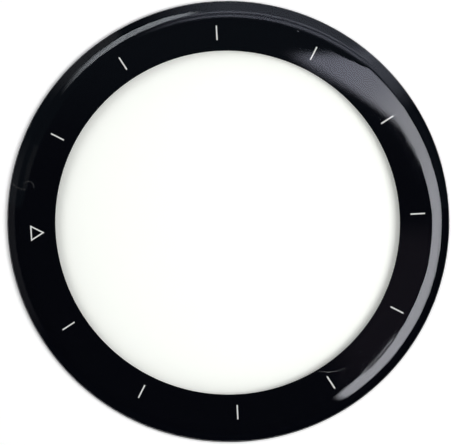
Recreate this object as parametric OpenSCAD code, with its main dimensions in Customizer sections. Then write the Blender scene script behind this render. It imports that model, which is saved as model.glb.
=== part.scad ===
// Full-cover screen protector for a round smartwatch.
// A clear formed sheet carries a printed border, its hour marks and a see-through adhesive stack.
// Sizes are in millimetres. The rim stands on z = 0, +Z looks out of the viewing face and
// +Y points at the twelve marker.

/* [Cover sheet] */
// Outer diameter at the rim
outer_d = 45; // [30:0.5:60]
// Thickness of the clear sheet
sheet_t = 0.3; // [0.2:0.01:0.4]
// Width of the formed edge, seen from above, from the flat face to the rim
edge_w = 1.9; // [1.6:0.05:2.4]
// Outside radius of the shoulder, where the flat face turns down
shoulder_r = 1.8; // [1.3:0.05:2.2]
// Slope of the straight skirt below the shoulder, in degrees below the flat face
edge_slope = 40; // [34:1:44]
// Width of the sheet's flat foot, where the trimmed rim stands
foot_w = 0.04; // [0.02:0.01:0.12]

/* [Printed border] */
// Width of the border's flat part, from where the sheet starts to curve in to the clear window
border_w = 3.1; // [2.5:0.05:6]
// Thickness of the white ink, which is printed first
white_ink_t = 0.02; // [0.01:0.005:0.03]
// Thickness of the black ink behind the white ink
black_backing_t = 0.02; // [0.01:0.005:0.03]

/* [Hour marks] */
// Length of an hour mark, along the radius
mark_len = 1.46; // [1:0.02:1.7]
// Width of an hour mark
mark_w = 0.13; // [0.1:0.01:0.3]
// Distance from the outer ends of the marks to where the sheet starts to curve
mark_edge_gap = 0.54; // [0.3:0.02:0.6]
// Width of the twelve marker's base, which is its outer side
marker_w = 1.62; // [1.4:0.02:2.2]
// Height of the twelve marker, from its base to its point
marker_h = 1.42; // [1.2:0.02:1.8]
// Line width of the twelve marker's outline
marker_line_w = 0.13; // [0.1:0.01:0.22]

/* [Adhesive] */
// Thickness of the clear bond layer under the black ink
bond_t = 0.05; // [0.03:0.01:0.08]
// Thickness of the clear carrier film
carrier_t = 0.05; // [0.03:0.01:0.08]
// Thickness of the silicone layer that touches the watch glass
silicone_t = 0.1; // [0.06:0.01:0.15]
// Distance from the edge of the adhesive to where the sheet starts to curve
adhesive_edge_gap = 0.2; // [0.1:0.02:0.4]

/* [Hidden] */
HOURS = [1:11];
function hour_name(hour) = str("hour_mark_", hour < 10 ? "0" : "", hour);

$fn = 180;
full_turn = 360;
hours_per_turn = 12;
arc_steps = 12;
cut_over = 0.5; // how far a cutter runs past the face that it opens

outer_r = outer_d / 2;
flat_r = outer_r - edge_w;
window_r = flat_r - border_w;
print_t = white_ink_t + black_backing_t;
adhesive_r = flat_r - adhesive_edge_gap;

// The underside of the sheet is a concentric shoulder and a straight skirt down to the foot.
under_shoulder_r = shoulder_r - sheet_t;
skirt_run = edge_w - foot_w - under_shoulder_r * sin(edge_slope);
skirt_drop = skirt_run * tan(edge_slope);

// Levels of the faces, from the rim upwards
top_z = skirt_drop + shoulder_r - under_shoulder_r * cos(edge_slope);
sheet_under_z = top_z - sheet_t;
white_under_z = sheet_under_z - white_ink_t;
print_under_z = sheet_under_z - print_t;
bond_under_z = print_under_z - bond_t;
carrier_under_z = bond_under_z - carrier_t;
silicone_under_z = carrier_under_z - silicone_t;

// The marks and the marker end on the same circle.
mark_outer_r = flat_r - mark_edge_gap;
marker_half_angle = atan(marker_w / 2 / marker_h);
marker_point_r = mark_outer_r - marker_h;
marker_inner_point_r = marker_point_r + marker_line_w / sin(marker_half_angle);
marker_inner_base_r = mark_outer_r - marker_line_w;
marker_inner_half_w = (marker_inner_base_r - marker_inner_point_r) * tan(marker_half_angle);

// An arc in the radius-height plane. Its angle is the slope of the surface below the horizontal.
function slope_arc(centre, r, from, to) = [
    for (i = [0:arc_steps])
        let (a = from + (to - from) * i / arc_steps)
        centre + r * [sin(a), cos(a)]
];

// Radius at which the skirt, at a given depth inside the outer face, would meet the foot's plane
function skirt_foot_r(depth) = outer_r - foot_w - (depth - sheet_t) / sin(edge_slope);

// Where that skirt ends: on the foot's plane, or further out at the upright trimmed rim
function skirt_end(depth) =
    skirt_foot_r(depth) <= outer_r
        ? [[skirt_foot_r(depth), 0]]
        : [[outer_r, (skirt_foot_r(depth) - outer_r) * tan(edge_slope)], [outer_r, 0]];

// The formed edge at a given depth inside the outer face, from the flat face down to the foot.
// Every depth shares the same arc centre, so each layer follows the one above it.
function edge_curve(depth) = concat(
    slope_arc([flat_r, top_z - shoulder_r], shoulder_r - depth, 0, edge_slope),
    skirt_end(depth)
);

function reversed(points) = [for (i = [len(points) - 1:-1:0]) points[i]];

// The wall between two depths of the formed edge, with its flat part reaching in to inner_r
module formed_layer(depth, thickness, inner_r) {
    rotate_extrude()
        polygon(concat(
            [[inner_r, top_z - depth]],
            edge_curve(depth),
            reversed(edge_curve(depth + thickness)),
            [[inner_r, top_z - depth - thickness]]
        ));
}

module disc(r, t, under_z) {
    translate([0, 0, under_z])
        cylinder(r = r, h = t);
}

// White ink for one hour, from its underside up to a given height
module mark_ink(hour, height) {
    translate([0, 0, white_under_z])
        rotate([0, 0, -hour * full_turn / hours_per_turn])
            linear_extrude(height)
                translate([-mark_w / 2, mark_outer_r - mark_len])
                    square([mark_w, mark_len]);
}

// White ink of the twelve marker: the outline of a triangle that points at the centre
module marker_ink(height) {
    translate([0, 0, white_under_z])
        linear_extrude(height)
            difference() {
                polygon([
                    [-marker_w / 2, mark_outer_r],
                    [marker_w / 2, mark_outer_r],
                    [0, marker_point_r]
                ]);
                polygon([
                    [-marker_inner_half_w, marker_inner_base_r],
                    [marker_inner_half_w, marker_inner_base_r],
                    [0, marker_inner_point_r]
                ]);
            }
}

module cover_sheet() {
    color([0.86, 0.92, 0.9, 0.35])
        formed_layer(0, sheet_t, 0);
}

// Black ink on the inside of the sheet, printed over the white marks
module border_print() {
    color([0.02, 0.02, 0.035])
        difference() {
            formed_layer(sheet_t, print_t, window_r);
            for (hour = HOURS)
                mark_ink(hour, white_ink_t + cut_over);
            marker_ink(white_ink_t + cut_over);
        }
}

module hour_mark(hour) {
    color([0.88, 0.88, 0.87])
        mark_ink(hour, white_ink_t);
}

module twelve_marker() {
    color([0.88, 0.88, 0.87])
        marker_ink(white_ink_t);
}

// The bond layer fills the step at the border's inner edge, so its middle is thicker.
module bond_layer() {
    color([0.9, 0.93, 0.88, 0.3])
        rotate_extrude()
            polygon([
                [0, bond_under_z],
                [adhesive_r, bond_under_z],
                [adhesive_r, print_under_z],
                [window_r, print_under_z],
                [window_r, sheet_under_z],
                [0, sheet_under_z]
            ]);
}

module carrier_film() {
    color([0.85, 0.9, 0.95, 0.3])
        disc(adhesive_r, carrier_t, carrier_under_z);
}

module silicone_adhesive() {
    color([0.92, 0.94, 0.96, 0.3])
        disc(adhesive_r, silicone_t, silicone_under_z);
}

cover_sheet();
border_print();
for (hour = HOURS)
    hour_mark(hour);
twelve_marker();
bond_layer();
carrier_film();
silicone_adhesive();
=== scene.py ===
import math

import bpy
from mathutils import Matrix, Vector


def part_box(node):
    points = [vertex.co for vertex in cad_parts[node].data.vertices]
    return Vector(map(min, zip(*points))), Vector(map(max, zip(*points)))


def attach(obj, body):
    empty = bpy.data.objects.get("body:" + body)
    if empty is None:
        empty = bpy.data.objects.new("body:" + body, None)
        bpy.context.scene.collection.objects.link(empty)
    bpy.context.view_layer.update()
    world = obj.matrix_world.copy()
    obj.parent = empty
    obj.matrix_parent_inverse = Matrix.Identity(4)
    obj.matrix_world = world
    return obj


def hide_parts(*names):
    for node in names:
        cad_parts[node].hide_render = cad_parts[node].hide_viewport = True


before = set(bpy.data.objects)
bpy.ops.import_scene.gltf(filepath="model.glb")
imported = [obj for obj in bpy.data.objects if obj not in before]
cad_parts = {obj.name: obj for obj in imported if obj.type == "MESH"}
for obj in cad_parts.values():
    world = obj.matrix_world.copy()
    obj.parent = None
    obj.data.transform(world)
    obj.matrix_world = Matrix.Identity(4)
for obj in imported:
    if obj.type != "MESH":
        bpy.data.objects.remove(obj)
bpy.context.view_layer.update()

mm = 0.001
micron = 0.000001
weldDistance = micron / 2         # points of a mesh that are closer than this become one


# One socket, wrapped so that shader maths reads as plain expressions.
class Shade:
    def __init__(self, tree, socket=None):
        self.tree = tree
        self.socket = socket

    # Any node: its type, its settings, then the values or links of its sockets
    def node(self, kind, settings=None, sockets=None, out=0):
        made = self.tree.nodes.new(kind)
        for name, value in (settings or {}).items():
            setattr(made, name, value)
        for name, value in (sockets or {}).items():
            if isinstance(value, Shade):
                self.tree.links.new(value.socket, made.inputs[name])
            else:
                made.inputs[name].default_value = value
        return Shade(self.tree, made.outputs[out])

    def math(self, operation, *values):
        return self.node("ShaderNodeMath", {"operation": operation}, dict(enumerate(values)))

    def vector(self, operation, *values, out=0):
        return self.node("ShaderNodeVectorMath", {"operation": operation}, dict(enumerate(values)), out)

    def __add__(self, other):
        return self.math("ADD", self, other)

    def __radd__(self, other):
        return self.math("ADD", other, self)

    def __sub__(self, other):
        return self.math("SUBTRACT", self, other)

    def __rsub__(self, other):
        return self.math("SUBTRACT", other, self)

    def __mul__(self, other):
        return self.math("MULTIPLY", self, other)

    def __rmul__(self, other):
        return self.math("MULTIPLY", other, self)

    def __truediv__(self, other):
        return self.math("DIVIDE", self, other)

    def __rtruediv__(self, other):
        return self.math("DIVIDE", other, self)

    def larger(self, other):
        return self.math("MAXIMUM", self, other)

    def absolute(self):
        return self.math("ABSOLUTE", self)

    # 0 below start, 1 above end, with a smooth step between them
    def rise(self, start, end):
        ends = {"Value": self, "From Min": start, "From Max": end}
        return self.node("ShaderNodeMapRange", {"interpolation_type": "SMOOTHSTEP"}, ends)

    # Smooth steps added up: how much each one adds, and where it starts and ends
    def profile(self, steps, total=0):
        for amount, start, end in steps:
            total = self.rise(start, end) * amount + total
        return total

    # low at 0 and high at 1
    def between(self, low, high):
        return self.node("ShaderNodeMapRange", {}, {"Value": self, "To Min": low, "To Max": high})

    # A colour or a vector, times this value
    def times(self, vector):
        return self.node("ShaderNodeVectorMath", {"operation": "SCALE"}, {0: vector, "Scale": self})

    # Two colours mixed by this value. The Mix node's colours are its sockets 6 and 7, and its output 2.
    def mixColours(self, first, second):
        return self.node("ShaderNodeMix", {"data_type": "RGBA"}, {0: self, 6: first, 7: second}, 2)

    # Two shaders mixed by this value
    def mixShaders(self, first, second):
        return self.node("ShaderNodeMixShader", {}, {0: self, 1: first, 2: second})

    def noise(self, coords, scale, detail=2.0, roughness=0.5):
        sockets = {"Vector": coords, "Scale": scale, "Detail": detail, "Roughness": roughness}
        return self.node("ShaderNodeTexNoise", {}, sockets)

    def finish(self, surface, output="ShaderNodeOutputMaterial"):
        self.tree.links.new(surface.socket, self.tree.nodes.new(output).inputs["Surface"])


def newMaterial(name):
    material = bpy.data.materials.new(name)
    material.use_nodes = True
    material.node_tree.nodes.clear()
    return material, Shade(material.node_tree)


# Object coordinates, in millimetres
def millimetres(shade):
    coords = shade.node("ShaderNodeTexCoord", out="Object")
    return coords.node("ShaderNodeVectorMath", {"operation": "SCALE"}, {0: coords, "Scale": 1 / mm})


def opaque(colour):
    return (*colour, 1.0)


# The camera stands almost straight above the part, which lies turned so that twelve o'clock points left.
shot = {
    "frame": (452, 445),          # pixels across and down
    "distance": 350 * mm,
    "tiltRight": 3.0,             # degrees off the part's axis
    "tiltUp": 4.76,
    "turn": 93.14,                # from the part's +Y to the top of the frame
    "pixelsPerMm": 9.828,
    "origin": (227.72, 222.45),   # pixel at which the part's origin shows
    "sensor": 36,
    "clipStart": 10 * mm,
}
turn = math.radians(shot["turn"])
photoRight = Vector((math.cos(turn), -math.sin(turn), 0))
photoUp = Vector((math.sin(turn), math.cos(turn), 0))
upward = Vector((0, 0, 1))


# A direction across the frame: its heading is in degrees, anticlockwise from the right.
def acrossFrame(heading):
    a = math.radians(heading)
    return math.cos(a) * photoRight + math.sin(a) * photoUp


def addCamera():
    tiltRight, tiltUp = math.radians(shot["tiltRight"]), math.radians(shot["tiltUp"])
    back = math.cos(tiltUp) * (math.sin(tiltRight) * photoRight + math.cos(tiltRight) * upward)
    back += math.sin(tiltUp) * photoUp
    right = math.cos(tiltRight) * photoRight - math.sin(tiltRight) * upward
    above = back.cross(right)
    width, height = shot["frame"]
    pixel = mm / shot["pixelsPerMm"]
    aside = (shot["origin"][0] - width / 2) * pixel
    down = (shot["origin"][1] - height / 2) * pixel
    position = shot["distance"] * back - aside * right + down * above
    turned = Matrix((right, above, back)).transposed().to_euler()
    bpy.ops.object.camera_add(location=position, rotation=turned)
    camera = bpy.context.object
    camera.name = "camera"
    camera.data.sensor_width = shot["sensor"]
    camera.data.lens = shot["distance"] / pixel / width * shot["sensor"]
    camera.data.clip_start = shot["clipStart"]
    bpy.context.scene.camera = camera


addCamera()
print("camera set")


def deselectAll():
    if bpy.context.mode != "OBJECT":
        bpy.ops.object.mode_set(mode="OBJECT")
    bpy.ops.object.select_all(action="DESELECT")


def selectOnly(piece):
    deselectAll()
    piece.select_set(True)
    bpy.context.view_layer.objects.active = piece


# A round slope in a section: its angle is the slope below the horizontal, in degrees.
def slopeArc(centre, radius, start, end, steps):
    angles = [math.radians(start + (end - start) * i / steps) for i in range(steps + 1)]
    return [(centre[0] + radius * math.sin(a), centre[1] + radius * math.cos(a)) for a in angles]


# Draws a section of radii and heights as one line of edges, and spins it about the part's axis.
def spinSection(name, section, facesAround):
    deselectAll()
    bpy.ops.mesh.primitive_plane_add(size=mm)
    piece = bpy.context.object
    piece.name = piece.data.name = name
    bpy.ops.object.mode_set(mode="EDIT")
    bpy.ops.mesh.select_all(action="SELECT")
    bpy.ops.mesh.merge(type="CENTER")
    bpy.ops.transform.translate(value=(section[0][0], 0, section[0][1]))
    for last, point in zip(section, section[1:]):
        step = (point[0] - last[0], 0, point[1] - last[1])
        bpy.ops.mesh.extrude_vertices_move(TRANSFORM_OT_translate={"value": step})
    bpy.ops.mesh.select_all(action="SELECT")
    bpy.ops.mesh.spin(steps=facesAround, angle=math.tau, center=(0, 0, 0), axis=(0, 0, 1))
    bpy.ops.mesh.select_all(action="SELECT")
    bpy.ops.mesh.remove_doubles(threshold=weldDistance)
    bpy.ops.mesh.normals_make_consistent(inside=False)
    bpy.ops.object.mode_set(mode="OBJECT")
    return piece


# Takes the sharpness off every edge that turns by more than the given angle.
def breakEdges(piece, width, angle=35, segments=2):
    selectOnly(piece)
    bevel = piece.modifiers.new("broken edges", "BEVEL")
    bevel.width = width
    bevel.segments = segments
    bevel.limit_method = "ANGLE"
    bevel.angle_limit = math.radians(angle)
    bpy.ops.object.modifier_apply(modifier=bevel.name)


def shadeSmooth(piece, angle=25):
    selectOnly(piece)
    bpy.ops.object.shade_smooth_by_angle(angle=math.radians(angle))


def place(piece, slot, *nodes):
    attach(piece, "root")
    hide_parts(*nodes)


# Cover sheet: a clear formed sheet with a flat face, a round shoulder and a straight skirt.
sheet = {
    "flatRadius": 20.6 * mm,
    "shoulderRadius": 1.8 * mm,
    "slope": 40,                   # degrees below the flat face
    "thickness": 0.3 * mm,
    "foot": 0.04 * mm,
    "air": 3 * micron,             # kept clear between the sheet and the ink under it
    "flatEdge": 0.1 * mm,          # keeps the flat face true beside the shoulder
    "skirtEdge": 0.05 * mm,        # keeps the skirt true beside its lower end
    "cornerBreak": 0.012 * mm,
    "facesAround": 288,
    "shoulderSteps": 24,
}
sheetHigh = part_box("cover_sheet")[1]
outerRadius, topLevel = sheetHigh[0], sheetHigh[2]
shoulderCentre = (sheet["flatRadius"], topLevel - sheet["shoulderRadius"])
slopeTan = math.tan(math.radians(sheet["slope"]))
slopeSin = math.sin(math.radians(sheet["slope"]))


# The formed edge at a depth below the outer face, from the flat down to the foot or the trimmed rim
def edgeCurve(depth):
    footRadius = outerRadius - sheet["foot"] - (depth - sheet["thickness"]) / slopeSin
    shoulder = sheet["shoulderRadius"] - depth
    curve = slopeArc(shoulderCentre, shoulder, 0, sheet["slope"], sheet["shoulderSteps"])
    endRadius = min(footRadius, outerRadius)
    endLevel = (footRadius - endRadius) * slopeTan
    curve.append((endRadius - sheet["skirtEdge"], endLevel + sheet["skirtEdge"] * slopeTan))
    curve.append((endRadius, endLevel))
    return curve + [(outerRadius, 0)] if endLevel > 0 else curve


def makeCoverSheet():
    under = sheet["thickness"] - sheet["air"]
    inner = sheet["flatRadius"] - sheet["flatEdge"]
    outside = [(0, topLevel), (inner, topLevel)] + edgeCurve(0)
    inside = edgeCurve(under)[::-1] + [(inner, topLevel - under), (0, topLevel - under)]
    piece = spinSection("clear_cover_sheet", outside + inside, sheet["facesAround"])
    breakEdges(piece, sheet["cornerBreak"])
    shadeSmooth(piece)
    place(piece, "clear_sheet", "cover_sheet")
    return piece


coverSheet = makeCoverSheet()
print("cover sheet made")


# Border print: the black ink on the inside of the sheet, with a pocket over each white mark
border = {
    "windowRadius": 17.5 * mm,
    "ink": 0.04 * mm,
    "pocketDepth": 0.02 * mm,
    "cornerBreak": 0.006 * mm,
    "cornerSegments": 1,
}
markNodes = [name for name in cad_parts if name.startswith("hour_mark") or name == "twelve_marker"]
inkTop = topLevel - sheet["thickness"]
inkUnder = inkTop - border["ink"]


# The marks' own outlines, grown upwards so that they cut cleanly through the face of the ink
def makePocketCutter():
    copies = []
    for name in markNodes:
        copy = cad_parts[name].copy()
        copy.data = copy.data.copy()
        copy.parent = None
        bpy.context.collection.objects.link(copy)
        copies.append(copy)
    deselectAll()
    for copy in copies:
        copy.select_set(True)
    bpy.context.view_layer.objects.active = copies[0]
    bpy.ops.object.join()
    cutter = bpy.context.object
    bpy.ops.object.mode_set(mode="EDIT")
    bpy.ops.mesh.select_all(action="SELECT")
    bpy.ops.mesh.remove_doubles(threshold=weldDistance)
    bpy.ops.mesh.select_all(action="DESELECT")
    bpy.ops.object.mode_set(mode="OBJECT")
    for vertex in cutter.data.vertices:
        vertex.select = vertex.co.z > inkTop - border["pocketDepth"] / 2
    bpy.ops.object.mode_set(mode="EDIT")
    bpy.ops.transform.translate(value=(0, 0, border["ink"]))
    bpy.ops.object.mode_set(mode="OBJECT")
    return cutter


def makeBorderPrint():
    section = [(border["windowRadius"], inkTop)] + edgeCurve(sheet["thickness"])
    section += edgeCurve(sheet["thickness"] + border["ink"])[::-1]
    section += [(border["windowRadius"], inkUnder), (border["windowRadius"], inkTop)]
    piece = spinSection("black_border_print", section, sheet["facesAround"])
    breakEdges(piece, border["cornerBreak"], segments=border["cornerSegments"])
    cutter = makePocketCutter()
    selectOnly(piece)
    pockets = piece.modifiers.new("mark pockets", "BOOLEAN")
    pockets.object = cutter
    pockets.operation = "DIFFERENCE"
    pockets.solver = "EXACT"
    bpy.ops.object.modifier_apply(modifier=pockets.name)
    bpy.data.objects.remove(cutter)
    shadeSmooth(piece)
    place(piece, "black_ink", "border_print")
    return piece


borderPrint = makeBorderPrint()
print("border print made")


# Adhesive stack: bond layer, carrier film and silicone, from the sheet downwards
stack = {
    "air": 2 * micron,             # kept clear between the layers
    "facesAround": 192,
    "bondBreak": 0.01 * mm,
    "filmBreak": 0.004 * mm,
    "siliconeBreak": 0.03 * mm,
    "discSegments": 3,
}


def makeDisc(name, node, slotName, cornerBreak):
    low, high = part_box(node)
    top = high[2] - stack["air"]
    section = [(0, low[2]), (high[0], low[2]), (high[0], top), (0, top)]
    piece = spinSection(name, section, stack["facesAround"])
    breakEdges(piece, cornerBreak, segments=stack["discSegments"])
    shadeSmooth(piece)
    place(piece, slotName, node)
    return piece


# The bond layer's raised middle fills the window inside the ink.
def makeBondLayer():
    low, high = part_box("bond_layer")
    step = border["windowRadius"] - stack["air"]
    ledge = inkUnder - stack["air"]
    section = [(0, low[2]), (high[0], low[2]), (high[0], ledge)]
    section += [(step, ledge), (step, high[2]), (0, high[2])]
    piece = spinSection("clear_bond_layer", section, stack["facesAround"])
    breakEdges(piece, stack["bondBreak"])
    shadeSmooth(piece)
    place(piece, "clear_bond", "bond_layer")
    return piece


bondLayer = makeBondLayer()
carrierFilm = makeDisc("clear_carrier_film", "carrier_film", "clear_film", stack["filmBreak"])
silicone = makeDisc("clear_silicone_adhesive", "silicone_adhesive", "clear_silicone",
                    stack["siliconeBreak"])
print("adhesive stack made")


# Finish of the sheet: a clear hard coat over a clear plastic
gloss = {
    "index": 1.49,
    "tint": (0.9987, 1.0, 0.997),    # of all the clear layers
    "roughness": 0.012,
    "waveScale": 0.35,
    "waviness": 0.0002,              # strength of the slow waves that forming leaves
    "scuffRoughness": 0.5,
    "scuffFrom": 0.02,               # share of scattered light that makes a place fully rough
    "markCore": 0.3,                 # share of a line's width that is at full strength
    "arcTaper": 1.3,                 # an arc's span, over the span that is at full strength
}

# Faint signs of handling, each an arc: its centre, right and up in the frame, and its radius, all in
# millimetres, its middle heading and its span in degrees, half its line's width in millimetres, and how
# much of the light it scatters
handling = {
    "hairByRim": (-20.53, 5.17, 1.8, 245, 56, 0.08, 0.03),
    "hairInside": (-20.17, 3.71, 0.51, 60, 170, 0.08, 0.022),
    "hairByWindow": (10.23, -10.46, 4.6, 275, 40, 0.07, 0.022),
    "speck": (7.14, 19.5, 0.02, 0, 360, 0.08, 0.15),
    "smear": (0.06, -0.09, 20.95, 164, 15, 0.45, 0.009),
}


# How much of the light a place on the sheet scatters
def handlingMarks(coords):
    marks = 0
    for right, up, radius, heading, span, width, strength in handling.values():
        centre = right * photoRight + up * photoUp
        offset = coords.vector("SUBTRACT", coords, tuple(centre))
        offset = offset.vector("MULTIPLY", offset, (1, 1, 0))
        away = offset.vector("LENGTH", offset, out="Value")
        line = 1 - (away - radius).absolute().rise(width * gloss["markCore"], width)
        if span < 360:
            middle = tuple(acrossFrame(heading))
            half = math.radians(span / 2)
            facing = offset.vector("DOT_PRODUCT", offset, middle, out="Value") / away.larger(micron)
            line = line * facing.rise(math.cos(half), math.cos(half / gloss["arcTaper"]))
        marks = line * strength + marks
    return marks


# A clear face: what its outer side doesn't mirror or scatter goes straight on.
def finishClearFace(shade, index, roughness, scattered=0, normal=None):
    bumped = {"Normal": normal} if normal else {}
    clear = shade.node("ShaderNodeBsdfTransparent", {}, {"Color": opaque(gloss["tint"])})
    shine = shade.node("ShaderNodeBsdfPrincipled", {}, {
        "Base Color": opaque((1, 1, 1)), "Metallic": 1.0, "Roughness": roughness, **bumped})
    mirrored = shade.node("ShaderNodeFresnel", {}, {"IOR": index, **bumped})
    outside = 1 - shade.node("ShaderNodeNewGeometry", out="Backfacing")
    shade.finish(((mirrored + scattered) * outside).mixShaders(clear, shine))


def makeSheetMaterial():
    material, shade = newMaterial("hard coated clear plastic")
    coords = millimetres(shade)
    waves = shade.noise(coords, gloss["waveScale"])
    wavy = {"Strength": gloss["waviness"], "Distance": mm, "Height": waves}
    marks = handlingMarks(coords)
    roughness = marks.rise(0.0, gloss["scuffFrom"]).between(gloss["roughness"], gloss["scuffRoughness"])
    finishClearFace(shade, gloss["index"], roughness, marks, shade.node("ShaderNodeBump", {}, wavy))
    return material


# Clear layers are bonded to each other, so their faces mirror nothing: how much light the grain of each
# scatters, and the two roughnesses that it goes between.
bonded = {
    "bonded face of the sheet": (0.0008, 0.3, 0.42),
    "clear acrylic adhesive": (0.004, 0.35, 0.49),
    "clear polyester film": (0.004, 0.2, 0.28),
    "clear silicone": (0.004, 0.4, 0.56),
}

# The silicone's open face mirrors a little, as it isn't bonded to anything.
openSilicone = {"index": 1.41, "roughness": (0.12, 0.3)}
clearGrain = 3.0


def makeBondedMaterial(name):
    haze, smoothest, roughest = bonded[name]
    material, shade = newMaterial(name)
    grain = shade.noise(millimetres(shade), clearGrain)
    tint = opaque(gloss["tint"])
    clear = shade.node("ShaderNodeBsdfTransparent", {}, {"Color": tint})
    film = shade.node("ShaderNodeBsdfPrincipled", {}, {
        "Base Color": tint, "Roughness": grain.between(smoothest, roughest)})
    shade.finish((grain * haze).mixShaders(clear, film))
    return material


def makeOpenSilicone():
    material, shade = newMaterial("open face of the silicone")
    grain = shade.noise(millimetres(shade), clearGrain)
    finishClearFace(shade, openSilicone["index"], grain.between(*openSilicone["roughness"]))
    return material


# Inks and the cut rim: the scale and detail of each one's grain, the two colours and the two roughnesses
# that it goes between, and its shine. The ink's face on the sheet is optically bonded to it, so only its
# bare underside shines. The trimmed rim shows the black ink that lies just inside it.
blackInk = ((0.0008, 0.0009, 0.0014), (0.0014, 0.0015, 0.0022))
whiteInk = ((0.66, 0.67, 0.67), (0.84, 0.84, 0.83))
cutRim = ((0.003, 0.003, 0.004), (0.009, 0.009, 0.011))
grainy = {
    "black screen ink": {"grain": (6.0, 2.0), "colours": blackInk, "roughness": (0.45, 0.6), "shine": 0.0},
    "bare underside of the ink": {
        "grain": (6.0, 2.0), "colours": blackInk, "roughness": (0.3, 0.45), "shine": 0.5},
    "white screen ink": {"grain": (9.0, 4.0), "colours": whiteInk, "roughness": (0.5, 0.65), "shine": 0.0},
    "trimmed rim of the sheet": {
        "grain": (12.0, 2.0), "colours": cutRim, "roughness": (0.25, 0.45), "shine": 0.4},
}


def makeGrainyMaterial(name):
    look = grainy[name]
    material, shade = newMaterial(name)
    grain = shade.noise(millimetres(shade), *look["grain"])
    shade.finish(shade.node("ShaderNodeBsdfPrincipled", {}, {
        "Base Color": grain.mixColours(*[opaque(colour) for colour in look["colours"]]),
        "Roughness": grain.between(*look["roughness"]),
        "Specular IOR Level": look["shine"],
    }))
    return material


# A piece's materials, and a rule that gives each of its faces the number of one of them
def dress(piece, materials, numberOf=None):
    piece.data.materials.clear()
    for material in materials:
        piece.data.materials.append(material)
    if numberOf:
        for face in piece.data.polygons:
            face.material_index = numberOf(face)


# How far up a face's normal points goes from -1 to 1. Below these limits the face looks down, isn't part
# of a flat top, or belongs to the cut rim if it is out there.
limit = {"down": -0.5, "offTop": 0.5, "rim": 0.6}


def looksDown(face):
    return int(face.normal.z < limit["down"])


def isOffTop(face):
    return int(face.normal.z < limit["offTop"])


def numberOnSheet(face):
    outAtRim = Vector(face.center[:2]).length > outerRadius - sheet["foot"]
    return 2 if outAtRim and face.normal.z < limit["rim"] else looksDown(face)


dress(coverSheet, (makeSheetMaterial(), makeBondedMaterial("bonded face of the sheet"),
                   makeGrainyMaterial("trimmed rim of the sheet")), numberOnSheet)
dress(borderPrint, [makeGrainyMaterial(name) for name in ("black screen ink", "bare underside of the ink")],
      looksDown)
dress(bondLayer, [makeBondedMaterial("clear acrylic adhesive")])
dress(carrierFilm, [makeBondedMaterial("clear polyester film")])
dress(silicone, (makeBondedMaterial("clear silicone"), makeOpenSilicone()), isOffTop)
whiteInkMaterial = makeGrainyMaterial("white screen ink")
for name in markNodes:
    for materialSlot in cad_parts[name].material_slots:
        materialSlot.material = whiteInkMaterial
print("materials made")


# Floor: white paper, a little darker to every ray that isn't the camera's
paper = {
    "size": 1.2,
    "gap": 5 * micron,
    "seen": (1.19, 1.19, 1.19),
    "lit": (0.8, 0.8, 0.79),
    "fibre": (2.5, 5.0, 0.6),      # scale, detail and roughness of the fibres' pattern
    "darkest": 0.985,              # share of the seen brightness between the fibres
}


def addFloor():
    deselectAll()
    bpy.ops.mesh.primitive_plane_add(size=paper["size"], location=(0, 0, -paper["gap"]))
    floor = bpy.context.object
    floor.name = "paper"
    material, shade = newMaterial("white paper")
    fibres = shade.noise(millimetres(shade), *paper["fibre"])
    seen = shade.node("ShaderNodeLightPath", out="Is Camera Ray")
    below = shade.node("ShaderNodeNewGeometry", out="Backfacing")
    darker = [paper["darkest"] * c for c in paper["seen"]]
    colour = seen.mixColours(opaque(paper["lit"]), fibres.mixColours(opaque(darker), opaque(paper["seen"])))
    sheetOfPaper = shade.node("ShaderNodeBsdfDiffuse", {}, {"Color": colour})
    nothing = shade.node("ShaderNodeBsdfTransparent")
    shade.finish((below * seen).mixShaders(sheetOfPaper, nothing))
    dress(floor, [material])


addFloor()
print("paper laid")

# Lamps: a large soft key close by on the right of the frame, a weak fill from its upper left, and an
# even world. Headings are anticlockwise from the right of the frame, and the levels add up to 1.
studio = {
    "key": {"heading": 0, "fromZenith": 35, "distance": 0.143, "size": 0.073, "level": 0.42},
    "fill": {"heading": 147, "fromZenith": 39, "distance": 0.3, "size": 0.157, "level": 0.16},
    "ambient": 0.42,
    "clearBounces": 32,            # plenty for the clear layers, which are eight faces deep
}


def addLamp(name):
    lamp = studio[name]
    lean = math.radians(lamp["fromZenith"])
    aim = math.sin(lean) * acrossFrame(lamp["heading"]) + math.cos(lean) * upward
    turned = aim.to_track_quat("Z", "Y").to_euler()
    bpy.ops.object.light_add(type="AREA", location=lamp["distance"] * aim, rotation=turned)
    light = bpy.context.object
    light.name = name
    light.data.shape = "SQUARE"
    light.data.size = lamp["size"]
    # The energy that lights white paper, at the origin, by the level
    light.data.energy = lamp["level"] * math.pi ** 2 * lamp["distance"] ** 2 / math.cos(lean)
    light.visible_glossy = False
    light.visible_camera = False


addLamp("key")
addLamp("fill")

# What the glossy faces mirror, drawn on the sky. A place there is its slope from straight up: how far
# it lies to the right of the frame, and how far to its top, for each unit of height. Its steepness is
# that slope's length. Its bearing goes round the place that the middle of the flat face mirrors, and
# away is the distance from there. Where a value below is a list of smooth steps, each gives how much it
# adds, where it starts and where it ends.
sky = {
    "middle": (-0.0526, -0.0833),
    "lowest": 0.02,                    # height below which the sky stays as it is there
    "shoulder": [(1, 0.06, 0.0612)],   # how far away the flat face ends
}


def length(x, y):
    squares = x * x + y * y
    return squares.math("SQRT", squares)


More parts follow.
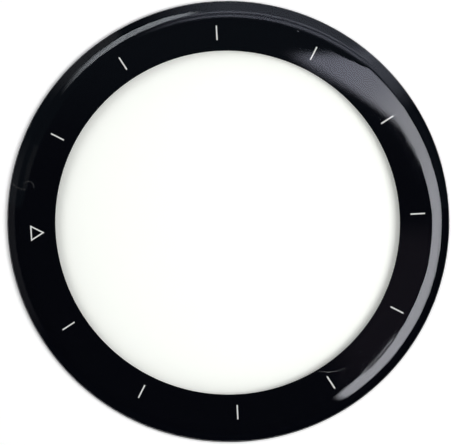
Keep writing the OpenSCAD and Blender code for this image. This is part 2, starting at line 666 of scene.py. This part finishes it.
# A place on the sky: where it lies, and the soft lines that lights are drawn with there
class SkyPlace:
    def __init__(self, shade):
        ray = shade.node("ShaderNodeTexCoord", out="Generated")
        height = shade.node("ShaderNodeSeparateXYZ", {}, {0: ray}, "Z").larger(sky["lowest"])
        self.right = ray.vector("DOT_PRODUCT", ray, tuple(photoRight), out="Value") / height
        self.up = ray.vector("DOT_PRODUCT", ray, tuple(photoUp), out="Value") / height
        self.x = self.right - sky["middle"][0]
        self.y = self.up - sky["middle"][1]
        self.away = length(self.x, self.y)
        self.steep = length(self.right, self.up)
        self.bearing = self.y.math("ARCTAN2", self.y, self.x) * math.degrees(1)
        self.onShoulder = self.away.profile(sky["shoulder"])

    # 1 on the left of a line through a point, walking along its heading, and 0 on its right
    def leftOf(self, px, py, heading, width, growth):
        a = math.radians(heading)
        offset = self.up * math.cos(a) - self.right * math.sin(a) + (px * math.sin(a) - py * math.cos(a))
        return (offset / (self.steep * growth + width)).rise(-0.5, 0.5)

    def leftOfEach(self, lines):
        return {name: self.leftOf(*line) for name, line in lines.items()}


# The key softbox, with a dark lamp stand and its arm in front of it. Their straight edges are lines: a
# point on each, right and up, its heading in degrees, the width of its soft edge, and how much that
# grows with steepness. What is lit or dark is to the left.
softbox = {
    "edges": {
        "top": (0.75, 0.61, 173.2, 0.2, 0),
        "side": (4.5, 0, 90, 1.6, 0),
        "bottom": (0, -1.9, 0, 1.3, 0),
        "end": (0.118, -0.356, -59.2, 0.002, 0.06),
        "onFlat": (0, -0.0343, 180, 0.0036, 0),
        "nearFlat": (-0.0183, -0.035, 231.6, 0.003, 0.02),
        "onShoulder": (0.1372, 0.1611, 225.5, 0.003, 0.02),
    },
    "lowOnFlat": [(1, -0.1, -0.09)],       # how far down it shows on the flat face
    "leftEnd": [(1, -0.0385, -0.0255)],    # how far to the left it shows
    "stand": {
        "side": (-0.0067, -0.0507, 141, 0.0034, 0),
        "top": (-0.0151, -0.0446, 151, 0.0042, 0),
        "root": (0.0006, -0.0589, 119, 0.0016, 0),
        "armTop": (0, -0.0685, 180, 0.0045, 0),
        "armUnder": (0, -0.1228, -6, 0.0012, 0),
        "armEnd": (0.2, 0, 90, 0.1, 0),
    },
    "level": 7.0,                          # at its brightest, from which the next two take away
    "bearing": [(-1.2, 0, 26), (-2.3, 27, 46), (-0.6, 46, 60)],
    "steepness": [(-2, 1.3, 3)],
    "colours": ((0.98, 0.99, 1.07), (0.94, 0.96, 1.17)),
    "tint": [(1, 25, 55)],                 # from the first colour to the second, by bearing
}


# 1 where the softbox is seen and 0 elsewhere
def softboxShape(spot):
    box = spot.leftOfEach(softbox["edges"])
    stand = spot.leftOfEach(softbox["stand"])
    shape = box["onFlat"].larger(box["nearFlat"] * box["onShoulder"]) * box["end"]
    shape = shape * spot.onShoulder.larger(spot.up.profile(softbox["lowOnFlat"]))
    shape = shape * spot.right.profile(softbox["leftEnd"])
    shape = shape * box["top"] * box["side"] * box["bottom"]
    dark = (stand["side"] * stand["top"] * stand["root"]).larger(stand["armTop"])
    return shape * (1 - dark * stand["armUnder"] * stand["armEnd"])


# A thin dark wire across the softbox's low end, and a thin strip of its light beside the flat face
wire = {
    "bearing": [(1, -48.5, -45.5), (-1, -36, -32)],
    "end": [(-1, 0.12, 0.17)],
    "level": 0.9,                      # how much of the light the wire takes
    "strip": [(1, 0.0594, 0.0596)],
    "stripLevel": 1.05,                # over that of the softbox
}


def crossByWire(spot, shape):
    span = spot.bearing.profile(wire["bearing"])
    line = span * spot.away.profile(wire["end"], 1) * wire["level"]
    strip = span * spot.away.profile(wire["strip"]) * (1 - spot.onShoulder) * wire["stripLevel"]
    return (shape * (1 - line)).larger(strip)


def softboxLight(spot, lit):
    level = spot.steep.profile(softbox["steepness"], softbox["level"])
    level = spot.bearing.profile(softbox["bearing"], level)
    first, second = softbox["colours"]
    colour = spot.bearing.profile(softbox["tint"]).mixColours(opaque(first), opaque(second))
    return (lit * level).times(colour)


# A weaker panel past the top of the frame, crossed by one darker line, with a plain end to the right
panel = {
    "colour": (0.93, 0.98, 1.2),
    "lean": 0.62,                      # how far the panel's lines climb to the right
    "across": [(1, 0.23, 0.52), (-0.72, 0.58, 0.8), (0.8, 0.86, 1.3), (-0.7, 1.4, 2.2)],
    "bearing": [(1, 46, 51), (-1, 90, 119)],
    "level": 1.5,
    "endBearing": [(1, 29, 43), (-1, 46, 51)],
    "endSteepness": [(1, 1, 1.8)],
    "endLevel": 0.95,
}


def panelLight(spot, lit):
    across = spot.up - spot.right * panel["lean"]
    body = across.profile(panel["across"]) * spot.bearing.profile(panel["bearing"]) * panel["level"]
    end = spot.bearing.profile(panel["endBearing"]) * spot.steep.profile(panel["endSteepness"])
    return ((body + end * panel["endLevel"]) * (1 - lit)).times(panel["colour"])


# A short bright strip beside the panel, which tapers towards it and is dimmer at its other end
strip = {
    "colour": (0.94, 1.0, 1.07),
    "bearing": [(1, 98.5, 106), (-1, 128, 146)],
    "inner": [(1, 0.8, 1.1)],
    "outer": [(-1, 4.6, 5.05)],
    "level": 4.2,
    "taperBearing": 113,               # where the strip starts to taper
    "taper": (-0.035, 0.12),           # how fast its inner and its outer side close in
    "dimBearing": [(1, 124.5, 127.5)],
    "dimSteepness": [(1, 1.7, 3)],
    "dim": 0.55,
}


def stripLight(spot):
    reach = (strip["taperBearing"] - spot.bearing).larger(0)
    inner, outer = [spot.steep + taper * reach for taper in strip["taper"]]
    shape = spot.bearing.profile(strip["bearing"]) * inner.profile(strip["inner"])
    shape = shape * outer.profile(strip["outer"], 1)
    dim = spot.bearing.profile(strip["dimBearing"]) * spot.steep.profile(strip["dimSteepness"])
    return (shape * strip["level"] * (1 - dim * strip["dim"])).times(strip["colour"])


# A dim glow past the strip's end, and a dimmer one on the left
glow = {
    "colour": (1, 1, 1.05),
    "bearing": [(1, 122.5, 126), (-1, 138, 152)],
    "steepness": [(1, 4.3, 5.2)],
    "level": 0.24,
    "leftBearing": 188,
    "leftFacing": [(1, 0.88, 0.985)],
    "leftSteepness": [(1, 2.5, 8)],
    "leftLevel": 0.12,
}


def glowLight(spot):
    end = spot.bearing.profile(glow["bearing"]) * spot.steep.profile(glow["steepness"])
    a = math.radians(glow["leftBearing"])
    facing = (spot.x * math.cos(a) + spot.y * math.sin(a)) / spot.away
    left = facing.profile(glow["leftFacing"]) * spot.steep.profile(glow["leftSteepness"])
    return (end * glow["level"] + left * glow["leftLevel"]).times(glow["colour"])


# The room: almost dark, with faint light past the top of the frame and low on the right
room = {
    "dark": (0.013, 0.018, 0.04),
    "haze": (0.03, 0.045, 0.05),
    "hazeUp": [(1, -0.07, -0.03)],
    "low": (0.1, 0.08, 0.1),
    "lowBearing": [(1, -60, -40), (-1, -8, 3)],
    "lowSteepness": [(-1, 1, 3)],
}


def roomLight(spot):
    haze = spot.up.profile(room["hazeUp"]).times(room["haze"])
    low = spot.bearing.profile(room["lowBearing"]) * spot.steep.profile(room["lowSteepness"], 1)
    light = haze.vector("ADD", haze, room["dark"])
    return light.vector("ADD", light, low.times(room["low"]))


# The world: white to the camera, the drawn sky to glossy rays, and an even light to all others
def makeSky():
    world = bpy.data.worlds.new("studio")
    bpy.context.scene.world = world
    world.use_nodes = True
    world.node_tree.nodes.clear()
    shade = Shade(world.node_tree)
    spot = SkyPlace(shade)
    lit = crossByWire(spot, softboxShape(spot))
    mirrored = roomLight(spot)
    for light in (softboxLight(spot, lit), panelLight(spot, lit), stripLight(spot), glowLight(spot)):
        mirrored = mirrored.vector("ADD", mirrored, light)
    glossy = shade.node("ShaderNodeLightPath", out="Is Glossy Ray")
    seen = shade.node("ShaderNodeLightPath", out="Is Camera Ray")
    even = shade.node("ShaderNodeBackground", {}, {"Color": opaque([studio["ambient"]] * 3)})
    mirror = shade.node("ShaderNodeBackground", {}, {"Color": mirrored})
    white = shade.node("ShaderNodeBackground", {}, {"Color": opaque((1, 1, 1))})
    shade.finish(seen.mixShaders(glossy.mixShaders(even, mirror), white), "ShaderNodeOutputWorld")


makeSky()
bpy.context.scene.view_settings.view_transform = "Standard"
bpy.context.scene.cycles.transparent_max_bounces = studio["clearBounces"]
print("studio set")
